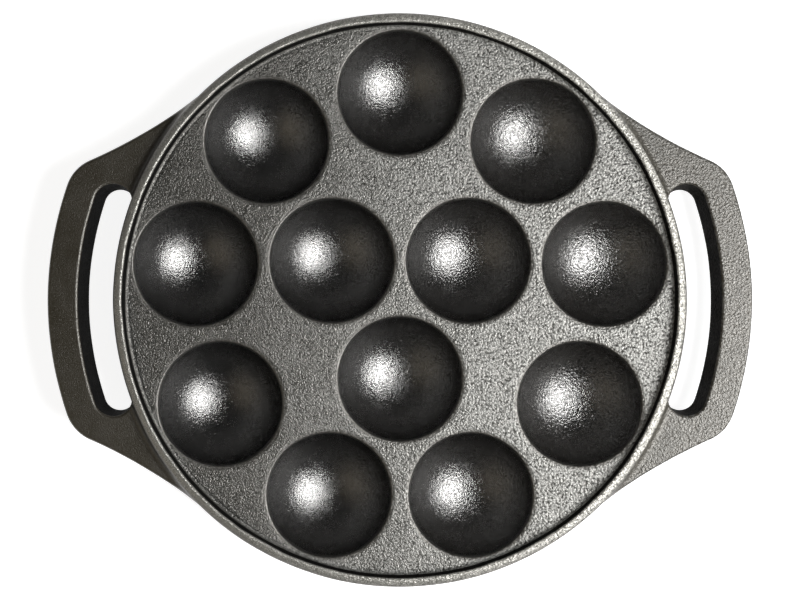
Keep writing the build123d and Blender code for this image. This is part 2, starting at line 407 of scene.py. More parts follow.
# Scales of the grain's patterns, in bumps to the metre
COARSE_SAND = 1150.0
CLOSE_SAND = 1950.0
PIMPLES = 1050.0
FINE_GRAIN = 2300.0
PATCHES = 95.0
BROAD_PATCHES = 26.0
PITS = 120.0
PITTED_AREAS = 60.0

# X in metres where the left end's look starts to change and where it has become the right's
LOOK_CHANGES = (-0.06, 0.09)

# Values at the left end and at the right: share of the coarse sand in it, share of pimples,
# factor on its depth, and factor on the colour's tone, which paints shade on the left end and
# light on the right
COARSE_SHARE = (0.12, 1.0)
PIMPLE_SHARE = (0.20, 0.50)
DEPTH_FACTOR = (0.70, 1.50)
PAINTED_LIGHT_FACTOR = (0.13, 1.50)

# Depth of a pit in millimetres, and the colour and strength of the stain in it
PIT_DEPTH = 0.05
PIT_COLOUR = (0.006, 0.005, 0.004)
PIT_STAIN = 0.7

# Factor on the sheen where the crest is rubbed bright
CREST_SHEEN = 2.0


class NodeBench:
    """Short ways to add nodes to one tree and join them."""

    def __init__(self, owner: bpy.types.Material | bpy.types.World) -> None:
        """Empties the node tree of a material or a world and keeps it.

        Args:
            owner: The material or the world.
        """
        owner.use_nodes = True
        self.tree = owner.node_tree
        self.tree.nodes.clear()

    def add(self, kind: str, **settings: object) -> bpy.types.Node:
        """New node of a kind, with its settings.

        Args:
            kind: Name of the node's type.
            settings: Values of its properties.

        Returns:
            The node.
        """
        node = self.tree.nodes.new(kind)
        for name, value in settings.items():
            setattr(node, name, value)
        return node

    def feed(self, socket: Socket, value: object) -> None:
        """Gives a socket a number or colour, or joins it to another node's output.

        Args:
            socket: Input of a node.
            value: A number, a colour or an output.
        """
        if isinstance(value, Socket):
            self.tree.links.new(value, socket)
        elif isinstance(value, tuple):
            socket.default_value = (*value, 1.0)
        else:
            socket.default_value = value

    def math(self, operation: str, *values: object, clamp: bool = False) -> Socket:
        """Result of one arithmetic step.

        Args:
            operation: Name of the step.
            values: Numbers or sockets that it works on.
            clamp: Whether the result is held between 0 and 1.

        Returns:
            Socket with the result.
        """
        node = self.add("ShaderNodeMath", operation=operation, use_clamp=clamp)
        for socket, value in zip(node.inputs, values):
            self.feed(socket, value)
        return node.outputs[0]

    def between(self, low: object, high: object, share: object) -> Socket:
        """Number at a share of the way from low to high.

        Args:
            low: Number or socket at share 0.
            high: Number or socket at share 1.
            share: Number or socket from 0 to 1.

        Returns:
            Socket with the number.
        """
        node = self.add("ShaderNodeMix", data_type="FLOAT")
        self.feed(node.inputs[0], share)
        self.feed(node.inputs[2], low)
        self.feed(node.inputs[3], high)
        return node.outputs[0]

    def colour_between(self, low: object, high: object, share: object) -> Socket:
        """Colour at a share of the way from low to high.

        Args:
            low: Colour or socket at share 0.
            high: Colour or socket at share 1.
            share: Number or socket from 0 to 1.

        Returns:
            Socket with the colour.
        """
        node = self.add("ShaderNodeMix", data_type="RGBA")
        self.feed(node.inputs[0], share)
        self.feed(node.inputs[6], low)
        self.feed(node.inputs[7], high)
        return node.outputs[2]

    def mapped(self, value: object, low: float, high: float, start: float = 0.0,
               end: float = 1.0) -> Socket:
        """Number that goes from start to end as the value goes from low to high.

        Args:
            value: Number or socket to read.
            low: Value at which the number is start.
            high: Value at which it is end.
            start: Number at low and below it.
            end: Number at high and above it.

        Returns:
            Socket with the number.
        """
        node = self.add("ShaderNodeMapRange", clamp=True)
        for socket, number in zip(node.inputs, (value, low, high, start, end)):
            self.feed(socket, number)
        return node.outputs[0]

    def noise(self, place: Socket, scale: float, detail: float, roughness: float = 0.5) -> Socket:
        """Smooth noise from 0 to 1 at a number of bumps to the metre.

        Args:
            place: Position to read it at.
            scale: Bumps to the metre.
            detail: Number of finer octaves.
            roughness: Strength of each octave against the one before.

        Returns:
            Socket with the noise.
        """
        node = self.add("ShaderNodeTexNoise")
        for name, value in zip(
            ("Vector", "Scale", "Detail", "Roughness"), (place, scale, detail, roughness)
        ):
            self.feed(node.inputs[name], value)
        return node.outputs["Fac"]

    def cell_distance(self, place: Socket, scale: float, **settings: object) -> Socket:
        """Distance to the nearest of scattered points, as a share of their spacing.

        Args:
            place: Position to read it at.
            scale: Points to the metre.
            settings: Properties of the node.

        Returns:
            Socket with the distance.
        """
        node = self.add("ShaderNodeTexVoronoi", **settings)
        self.feed(node.inputs["Vector"], place)
        self.feed(node.inputs["Scale"], scale)
        return node.outputs["Distance"]

    def split(self, vector: Socket) -> bpy.types.Node:
        """Node that gives a vector's X, Y and Z.

        Args:
            vector: The vector.

        Returns:
            The node.
        """
        node = self.add("ShaderNodeSeparateXYZ")
        self.feed(node.inputs[0], vector)
        return node

    def mark(self, name: str) -> Socket:
        """One of the numbers that the mesh carries at its points."""
        return self.add("ShaderNodeAttribute", attribute_name=name).outputs["Fac"]

    def finish(self, shader: Socket, kind: str = "ShaderNodeOutputMaterial") -> None:
        """Joins a shader to the tree's output."""
        self.feed(self.add(kind).inputs["Surface"], shader)


@dataclass(frozen=True)
class CastGrain:
    """Patterns of position that every finish of the casting shares, as numbers from 0 to 1."""

    # 0 at the left end, where the grain is fine and shade is painted into the colour, and 1 at
    # the right end, where light is painted into it
    right: Socket
    # Sand grain, closer on the left and with more round pimples on the right
    sand: Socket
    # Fine grain on top of the sand
    fine: Socket
    # Patches about 10 mm across
    patches: Socket
    # Patches about 40 mm across
    broad: Socket
    # Small pits, in a few areas only
    pit: Socket

    @classmethod
    def on(cls, bench: NodeBench) -> "CastGrain":
        """Adds the patterns to a material, in the coordinates of the part.

        Args:
            bench: Where the nodes go.

        Returns:
            The patterns.
        """
        place = bench.add("ShaderNodeTexCoord").outputs["Object"]
        right = bench.mapped(bench.split(place).outputs["X"], *LOOK_CHANGES)
        coarse = bench.noise(place, COARSE_SAND, 2.0, 0.60)
        close = bench.noise(place, CLOSE_SAND, 1.0, 0.60)
        sand = bench.between(close, coarse, bench.mapped(right, 0.0, 1.0, *COARSE_SHARE))
        apart = bench.cell_distance(place, PIMPLES, feature="SMOOTH_F1")
        bench.feed(apart.node.inputs["Smoothness"], 0.7)
        pimples = bench.math("SUBTRACT", 1.0, apart)
        pit = bench.mapped(bench.cell_distance(place, PITS), 0.03, 0.09, 1.0, 0.0)
        rare = bench.mapped(bench.noise(place, PITTED_AREAS, 1.0), 0.56, 0.62)
        return cls(
            right=right,
            sand=bench.between(sand, pimples, bench.mapped(right, 0.0, 1.0, *PIMPLE_SHARE)),
            fine=bench.noise(place, FINE_GRAIN, 1.0, 0.60),
            patches=bench.noise(place, PATCHES, 3.0, 0.60),
            broad=bench.noise(place, BROAD_PATCHES, 2.0),
            pit=bench.math("MULTIPLY", pit, rare),
        )


@dataclass(frozen=True)
class SeasonedIron:
    """Oiled, blackened cast iron with a sand grain.

    Every finish uses the same grain, so surfaces that meet run into each other. Three marks on
    the mesh choose the finish at a point: edge_blend takes it towards the neighbour's finish,
    under_blend towards the bare underside and crest_rub_and_highlight towards the rubbed crest,
    whose light colour is partly real rubbing and partly a painted highlight.
    """

    name: str
    # Finish where no mark is set
    own: Finish
    # Finish of the surface that it runs into
    neighbour: Finish
    # Strength of the sheen on the grain's peaks
    specular: float = 0.5
    ior: float = 2.1
    # Share of the sheen that is left in the grain's hollows
    cavity: float = 0.45
    # Colour of the sheen
    tint: Colour = (1.0, 0.97, 0.91)

    def blended(self, bench: NodeBench, pick: str, marks: list[Socket]) -> object:
        """One number or colour of the finishes, blended in turn by the marks.

        Args:
            bench: Where the nodes go.
            pick: Name of the number or colour.
            marks: Shares of the neighbour's, the underside's and the crest's finish.

        Returns:
            Socket with the blend.
        """
        value = getattr(self.own, pick)
        mix = bench.colour_between if isinstance(value, tuple) else bench.between
        for finish, share in zip((self.neighbour, UNDER_FINISH, CREST_RUB_AND_HIGHLIGHT), marks):
            value = mix(value, getattr(finish, pick), share)
        return value

    def height(self, bench: NodeBench, grain: CastGrain, marks: list[Socket]) -> Socket:
        """Height of the surface in millimetres: sand and fine grain, less the pits.

        Args:
            bench: Where the nodes go.
            grain: The shared patterns.
            marks: Shares of the neighbour's, the underside's and the crest's finish.

        Returns:
            Socket with the height.
        """
        depth = self.blended(bench, "sand_depth", marks)
        factor = bench.mapped(grain.right, 0.0, 1.0, *DEPTH_FACTOR)
        sand = bench.math("MULTIPLY", grain.sand, bench.math("MULTIPLY", depth, factor))
        fine = bench.math("MULTIPLY", grain.fine, self.blended(bench, "fine_depth", marks))
        pits = bench.math("MULTIPLY", grain.pit, PIT_DEPTH)
        return bench.math("SUBTRACT", bench.math("ADD", sand, fine), pits)

    def colour(self, bench: NodeBench, grain: CastGrain, marks: list[Socket]) -> Socket:
        """Colour: from the hollows' to the peaks' as the grain rises, uneven, with painted shade
        at the left end and painted light at the right, stained in pits.

        Args:
            bench: Where the nodes go.
            grain: The shared patterns.
            marks: Shares of the neighbour's, the underside's and the crest's finish.

        Returns:
            Socket with the colour.
        """
        shade = bench.mapped(grain.patches, 0.32, 0.70)
        tone = bench.mapped(grain.sand, 0.37, 0.66)
        tone = bench.math("MULTIPLY", tone, bench.between(0.55, 1.0, shade))
        tone = bench.math("MULTIPLY", tone, bench.mapped(grain.broad, 0.3, 0.7, 0.82, 1.1))
        # Painted light and shade: the tone goes from dark at the left end to light at the right
        painted_light = bench.mapped(grain.right, 0.0, 1.0, *PAINTED_LIGHT_FACTOR)
        tone = bench.math("MULTIPLY", tone, painted_light, clamp=True)
        hollow = self.blended(bench, "hollow", marks)
        peak = self.blended(bench, "peak", marks)
        colour = bench.colour_between(hollow, peak, tone)
        stain = bench.math("MULTIPLY", grain.pit, PIT_STAIN)
        return bench.colour_between(colour, PIT_COLOUR, stain)

    def material(self) -> bpy.types.Material:
        """Builds the material: grain as height, and from it colour, roughness and sheen.

        Returns:
            The new material.
        """
        material = bpy.data.materials.new(self.name)
        bench = NodeBench(material)
        grain = CastGrain.on(bench)
        marks = [bench.mark(name) for name in ("edge_blend", "under_blend", "crest_rub_and_highlight")]
        bump = bench.add("ShaderNodeBump")
        bench.feed(bump.inputs["Strength"], 1.0)
        bench.feed(bump.inputs["Distance"], MM)
        bench.feed(bump.inputs["Height"], self.height(bench, grain, marks))
        dull = bench.mapped(bench.between(grain.fine, grain.patches, 0.55), 0.36, 0.64)
        smoothest = self.blended(bench, "smoothest", marks)
        roughest = self.blended(bench, "roughest", marks)
        sheen = bench.mapped(grain.sand, 0.38, 0.54, self.cavity * self.specular, self.specular)
        rubbed = bench.between(1.0, CREST_SHEEN, marks[2])
        shader = bench.add("ShaderNodeBsdfPrincipled")
        for name, value in (
            ("Base Color", self.colour(bench, grain, marks)),
            ("Roughness", bench.between(smoothest, roughest, dull)),
            ("Normal", bump.outputs["Normal"]),
            ("Specular IOR Level", bench.math("MULTIPLY", sheen, rubbed)),
            ("Specular Tint", self.tint),
            ("IOR", self.ior),
        ):
            bench.feed(shader.inputs[name], value)
        bench.finish(shader.outputs["BSDF"])
        return material


# Rim and handles share an index of refraction, so that no edge shows where they meet
RIM_IOR = 1.75

IRONS = (
    SeasonedIron("deck_iron", DECK_FINISH, MOUTH_FINISH, specular=0.44),
    SeasonedIron(
        "well_iron", WELL_FINISH, MOUTH_FINISH, ior=2.2, cavity=0.6, tint=(1.0, 0.99, 0.97)
    ),
    SeasonedIron("lip_iron", RIM_FINISH, DECK_FINISH, ior=RIM_IOR, cavity=0.6),
    SeasonedIron("skirt_iron", RIM_FINISH, RIM_FINISH, ior=RIM_IOR, cavity=0.6),
    SeasonedIron("handle_iron", HANDLE_FINISH, RIM_FINISH, ior=RIM_IOR, cavity=0.7),
    # Painted shade for the walls that lie in shade
    SeasonedIron("sooty_iron", PAINTED_SHADE_FINISH, PAINTED_SHADE_FINISH, specular=0.06, ior=1.45),
)


# The pan


@dataclass(frozen=True)
class PanSizes:
    """Sizes of the pan in millimetres, the same as those of the CAD."""

    mouth_radius: float = 24.9
    well_depth: float = 22.5
    well_wall: float = 3.6
    foot_radius: float = 6.0
    mouth_rounding: float = 0.8
    root_fillet: float = 2.5
    outer_gap: float = 7.0
    inner_gap: float = 4.8
    deck_thickness: float = 4.5
    deck_margin: float = 2.0
    rim_thickness: float = 4.3
    lip_height: float = 5.0
    lip_foot_fillet: float = 1.4

    @property
    def outer_ring(self) -> float:
        """Radius of the ring of nine wells."""
        return (2 * self.mouth_radius + self.outer_gap) / (2 * math.sin(math.pi / OUTER_WELLS))

    @property
    def inner_ring(self) -> float:
        """Radius of the ring of three wells."""
        return (2 * self.mouth_radius + self.inner_gap) / (2 * math.sin(math.pi / INNER_WELLS))

    @property
    def deck_radius(self) -> float:
        """Radius of the deck, where the lip's inner face starts."""
        return self.outer_ring + self.mouth_radius + self.deck_margin

    @property
    def rim_radius(self) -> float:
        """Outer radius of the rim."""
        return self.deck_radius + self.rim_thickness

    @property
    def lip_foot_radius(self) -> float:
        """Radius where the flat deck ends and the fillet at the lip's foot starts."""
        return self.deck_radius - self.lip_foot_fillet

    @property
    def sphere_radius(self) -> float:
        """Radius of the sphere that a well's inside is part of."""
        return (self.mouth_radius**2 + self.well_depth**2) / (2 * self.well_depth)

    @property
    def shell_radius(self) -> float:
        """Radius of the sphere that a bowl's outside is part of."""
        return self.sphere_radius + self.well_wall

    @property
    def deck_top(self) -> float:
        """Height of the deck's top above the table."""
        cut = self.shell_radius - math.sqrt(self.shell_radius**2 - self.foot_radius**2)
        return self.well_depth + self.well_wall - cut

    @property
    def deck_underside(self) -> float:
        """Height of the deck's underside."""
        return self.deck_top - self.deck_thickness

    @property
    def sphere_height(self) -> float:
        """Height of the spheres' centres."""
        return self.deck_top - self.well_depth + self.sphere_radius

    @property
    def crest(self) -> float:
        """Height of the lip's crest."""
        return self.deck_top + self.lip_height

    @property
    def seam(self) -> tuple[float, float]:
        """Radius and height of the circle where a well's sphere meets its mouth rounding.

        Returns:
            The radius and the height.
        """
        level = self.deck_top - self.mouth_rounding - self.sphere_height
        reach = self.sphere_radius + self.mouth_rounding
        share = self.sphere_radius / reach
        return math.sqrt(reach**2 - level**2) * share, self.sphere_height + level * share

    @property
    def rounding_radius(self) -> float:
        """Radius of the circle where a mouth's rounding meets the flat deck."""
        level = self.deck_top - self.mouth_rounding - self.sphere_height
        return math.sqrt((self.sphere_radius + self.mouth_rounding) ** 2 - level**2)

    def well_places(self) -> tuple[Array, Array]:
        """Angles in degrees and plan centres of the wells, the outer ones first.

        Returns:
            One angle and one row (x, y) for each well.
        """
        outer = 90.0 + 360.0 / OUTER_WELLS * np.arange(OUTER_WELLS)
        inner = 150.0 + 360.0 / INNER_WELLS * np.arange(INNER_WELLS)
        angles = np.concatenate([outer, inner])
        radii = np.repeat([self.outer_ring, self.inner_ring], [OUTER_WELLS, INNER_WELLS])
        return angles, polar(radii, angles)


def clipped(polygon: Array, normal: Array, limit: float) -> Array:
    """Part of a convex plan polygon where its points' dot product with a normal is below a limit.

    Args:
        polygon: Corners in order.
        normal: Direction that points out of the part kept.
        limit: Largest dot product kept.

    Returns:
        Corners of the part kept, in the same order.
    """
    side = polygon @ normal - limit
    after = np.roll(polygon, -1, axis=0)
    side_after = np.roll(side, -1)
    crosses = side * side_after < 0
    span = np.where(crosses, side - side_after, 1.0)
    crossing = polygon + (after - polygon) * (side / span)[:, None]
    both = np.stack([polygon, crossing], axis=1).reshape(-1, 2)
    keep = np.stack([side <= 0, crosses], axis=1).ravel()
    return both[keep]


@dataclass
class WellCell:
    """The part of the deck that is nearer to one well than to any other."""

    # Plan centre of the well
    centre: Array
    # Points round the cell's border, anticlockwise. Cells that share a border share its points
    border: Array
    # Which of the points lie on the deck's outer circle
    on_rim: Array

    @classmethod
    def cut(cls, sizes: PanSizes, number: int, step: float = 0.85,
            beyond: float = 400.0) -> "WellCell":
        """Cuts the cell of one well out of the plane with the lines halfway to the others.

        Args:
            sizes: Sizes of the pan.
            number: Place of the well in the list.
            step: Largest distance between points of a straight border.
            beyond: Half the side of the square that is cut, which takes in the whole pan.

        Returns:
            The cell.
        """
        angles, centres = sizes.well_places()
        centre = centres[number]
        polygon = beyond * np.array([[-1.0, -1.0], [1.0, -1.0], [1.0, 1.0], [-1.0, 1.0]])
        for other in np.delete(centres, number, axis=0):
            towards = other - centre
            polygon = clipped(polygon, towards, float(towards @ (centre + other) / 2))
        corners = polygon[lengths(polygon) < sizes.lip_foot_radius]
        runs = []
        flags = []
        outer = number < OUTER_WELLS
        if outer:
            half = 180.0 / OUTER_WELLS
            count = RIM_POINTS // OUTER_WELLS + 1
            turns = angles[number] + np.linspace(-half, half, count)
            runs.append(polar(sizes.lip_foot_radius, turns))
            flags.append(np.ones(count, dtype=bool))
            corners = np.vstack([runs[0][-1:], corners, runs[0][:1]])
        start = corners[0] - centre
        turn = np.arctan2(corners[:, 1] - centre[1], corners[:, 0] - centre[0])
        turn = (turn - math.atan2(start[1], start[0]) + 1e-9) % (2 * math.pi)
        corners = corners[np.argsort(turn)]
        pairs = list(zip(corners, np.roll(corners, -1, axis=0)))
        for corner, following in pairs[:-1] if outer else pairs:
            count = math.ceil(round(float(lengths(following - corner)) / step, 6))
            share = np.arange(count) / count
            runs.append(corner + (following - corner) * share[:, None])
            flags.append(np.zeros(count, dtype=bool))
        if outer:
            runs[1] = runs[1][1:]
            flags[1] = flags[1][1:]
        return cls(centre, np.concatenate(runs), np.concatenate(flags))

    def border_at(self, rim_radius: float) -> Array:
        """The border with its points on the deck's circle moved out or in to another radius."""
        radius = lengths(self.border)[:, None]
        return np.where(self.on_rim[:, None], self.border * rim_radius / radius, self.border)

    def revolved(self, profile: Array) -> Array:
        """Profile (radius, height) turned about the well's axis, towards the border's points.

        Args:
            profile: Points (radius, height), one row each.

        Returns:
            Grid with a row for each point of the profile.
        """
        directions = unit(self.border - self.centre)
        plan = self.centre + profile[:, None, :1] * directions[None]
        return at_height(plan, profile[:, None, 1:])


@dataclass
class Wells:
    """The twelve bowls: polished inside, bare casting outside."""

    sizes: PanSizes
    waviness: CastingWaviness
    inner_rows: int = 110
    outer_rows: int = 54
    fillet_rows: int = 12
    foot_rows: int = 6
    # Depth over which the mouth's finish gives way to the well's
    mouth_fade: float = 3.2
    ring_depth: float = 0.011
    # Share, wavelength and phase of each wave of the polishing rings
    rings: tuple[tuple[float, float, float], ...] = (
        (0.5, 3.1, 0.0), (0.3, 1.9, 1.1), (0.45, 5.3, 2.3),
    )
    # Arc lengths from the floor between which the rings set in
    ring_start: tuple[float, float] = (2.0, 6.0)
    # Arc lengths between which they die out
    ring_end: tuple[float, float] = (32.0, 35.5)

    def profile(self) -> tuple[Array, Array, Array]:
        """Profile from the floor up the inside, through the wall, and down the outside.

        The inside is an arc of the sphere. The outside is a fillet against the deck, then an
        arc of the larger sphere, then the small flat foot.

        Returns:
            Points (radius, height), the mouth's share and the underside's share at each.
        """
        sizes = self.sizes
        seam_radius, seam_height = sizes.seam
        seam_turn = math.degrees(math.atan2(seam_height - sizes.sphere_height, seam_radius))
        middle = (0.0, sizes.sphere_height)
        inside = arc_profile(middle, sizes.sphere_radius, -90.0, seam_turn, self.inner_rows)
        inside[0, 0] = 0.0
        inside[-1] = sizes.seam
        level = sizes.deck_underside - sizes.root_fillet
        reach = sizes.shell_radius + sizes.root_fillet
        flare_turn = math.degrees(math.asin((level - sizes.sphere_height) / reach))
        flare_radius = reach * math.cos(math.radians(flare_turn))
        hidden = np.array([
            [seam_radius + 0.9, seam_height - 0.5],
            [flare_radius, sizes.deck_underside + 1.2],
        ])
        flare = arc_profile(
            (flare_radius, level), sizes.root_fillet, 84.0, 180.0 + flare_turn, self.fillet_rows
        )
        foot_turn = -math.degrees(math.acos(sizes.foot_radius / sizes.shell_radius))
        outside = arc_profile(middle, sizes.shell_radius, flare_turn, foot_turn, self.outer_rows)
        foot = straight((sizes.foot_radius, 0.0), (0.0, 0.0), self.foot_rows)
        points = np.vstack([inside, hidden, flare, outside[1:], foot[1:]])
        points[len(points) - self.foot_rows:, 1] = 0.0
        depth = seam_height - points[:, 1]
        under = (np.arange(len(points)) >= self.inner_rows).astype(float)
        mouth = np.where(under > 0, 1.0, 1.0 - smoothstep(depth, 0.0, self.mouth_fade))
        return points, mouth, under

    def rippled(self, grid: Array, profile: Array, number: int) -> Array:
        """Adds faint polishing rings: the wall goes in and out as a sum of sines of its arc.

        Args:
            grid: Points of one bowl.
            profile: Profile it was turned from.
            number: Place of the well, so that no two are alike.

        Returns:
            Points of the bowl with its rings.
        """
        sizes = self.sizes
        inside = np.arange(len(profile)) < self.inner_rows
        arc = np.arctan2(profile[:, 0], sizes.sphere_height - profile[:, 1]) * sizes.sphere_radius
        waves = sum(
            share * np.sin(2 * np.pi * arc / wave + 1.7 * number + turn)
            for share, wave, turn in self.rings
        )
        fade = smoothstep(arc, *self.ring_start) * (1.0 - smoothstep(arc, *self.ring_end))
        shift = np.where(inside, waves * fade * self.ring_depth, 0.0)
        heart = np.array([*sizes.well_places()[1][number], sizes.sphere_height])
        return grid + unit(grid - heart) * shift[:, None, None]

    def build(self, cells: list[WellCell], material: bpy.types.Material) -> None:
        """Makes and places the twelve bowls.

        Args:
            cells: The parts of the deck round the wells.
            material: Iron of the wells.
        """
        profile, mouth, under = self.profile()
        for number, cell in enumerate(cells):
            shell = Shell()
            grid = self.rippled(cell.revolved(profile), profile, number)
            shell.add_grid(
                grid, wrap_columns=True, edge_blend=mouth[:, None], under_blend=under[:, None]
            )
            piece = make_piece(f"well_{number + 1:02d}", shell, self.waviness)
            place(piece, [material], "well_iron", f"well_bowl_{number + 1:02d}")


@dataclass
class Deck:
    """The flat plate between the wells, with a rounded edge at each mouth."""

    sizes: PanSizes
    waviness: CastingWaviness
    flat_rows: int = 10
    rounding_rows: int = 9
    # Distances from the rounding between which the mouth's finish gives way
    mouth_edge: tuple[float, float] = (-0.1, 1.1)
    # Radius of the underside, which reaches into the skirt
    skirt_radius: float = 111.0
    skirt_fillet: float = 2.0
    # How far the fillet's end lies past the deck's radius, in the skirt's wall
    fillet_past: float = 0.35

    def mouth_profile(self) -> Array:
        """Points (radius, height) of a mouth's rounding, from the well's seam up to the flat.

        Returns:
            One row for each point of the arc.
        """
        sizes = self.sizes
        seam_radius, seam_height = sizes.seam
        centre = (sizes.rounding_radius, sizes.deck_top - sizes.mouth_rounding)
        start = math.degrees(math.atan2(seam_height - centre[1], seam_radius - centre[0]))
        rounding = arc_profile(centre, sizes.mouth_rounding, start, 90.0, self.rounding_rows)
        rounding[0] = sizes.seam
        return rounding

    def bore_profile(self) -> Array:
        """Points (radius, height) inside the metal, from the underside up to the well's seam.

        Returns:
            One row for each of its three points.
        """
        seam_radius, seam_height = self.sizes.seam
        return np.array([
            [self.sizes.rounding_radius + 0.6, self.sizes.deck_underside],
            [seam_radius + 0.7, seam_height - 0.8],
            [seam_radius, seam_height],
        ])

    def build(self, cells: list[WellCell], material: bpy.types.Material) -> None:
        """Makes and places the plate, one cell of its top and underside at a time.

        Args:
            cells: The parts of the deck round the wells.
            material: Iron of the deck.
        """
        shell = Shell()
        sizes = self.sizes
        rounding = self.mouth_profile()
        bore = self.bore_profile()
        share = np.linspace(0.0, 1.0, self.flat_rows + 1)[:, None, None]
        for cell in cells:
            ring = cell.revolved(rounding)
            edge = ring[-1, :, :2]
            flat = at_height(edge + (cell.border - edge) * share, sizes.deck_top)
            top = np.concatenate([ring[:-1], flat])
            away = lengths(top[..., :2] - cell.centre) - sizes.rounding_radius
            near = 1.0 - smoothstep(away, *self.mouth_edge)
            shell.add_grid(top, wrap_columns=True, edge_blend=near, under_blend=0.0)
            inner = cell.revolved(bore)
            border = cell.border_at(self.skirt_radius)
            under = self.underside(border + (inner[0, :, :2] - border) * share)
            bottom = np.concatenate([under[:-1], inner])
            shell.add_grid(bottom, wrap_columns=True, edge_blend=0.0, under_blend=1.0)
        turns = rim_turns()
        lower = polar(self.skirt_radius, turns)
        wall = np.stack([
            at_height(polar(sizes.lip_foot_radius, turns), sizes.deck_top),
            at_height(lower, sizes.deck_top - 1.5),
            self.underside(lower),
        ])
        under = np.array([[0], [1], [1]])
        shell.add_grid(wall, wrap_columns=True, edge_blend=0.0, under_blend=under)
        piece = make_piece("deck", shell, self.waviness)
        place(piece, [material], "deck_iron", "deck_plate")

    def underside(self, plan: Array) -> Array:
        """Plan points at the underside's height, which drops by a quarter circle at the skirt.

        Args:
            plan: Plan points.

        Returns:
            The points with their heights.
        """
        away = self.sizes.deck_radius + self.fillet_past - lengths(plan)
        away = np.clip(away / self.skirt_fillet, 0.0, 1.0)
        drop = self.skirt_fillet * (1.0 - np.sqrt(1.0 - (1.0 - away) ** 2))
        return at_height(plan, (self.sizes.deck_underside - drop)[..., None])


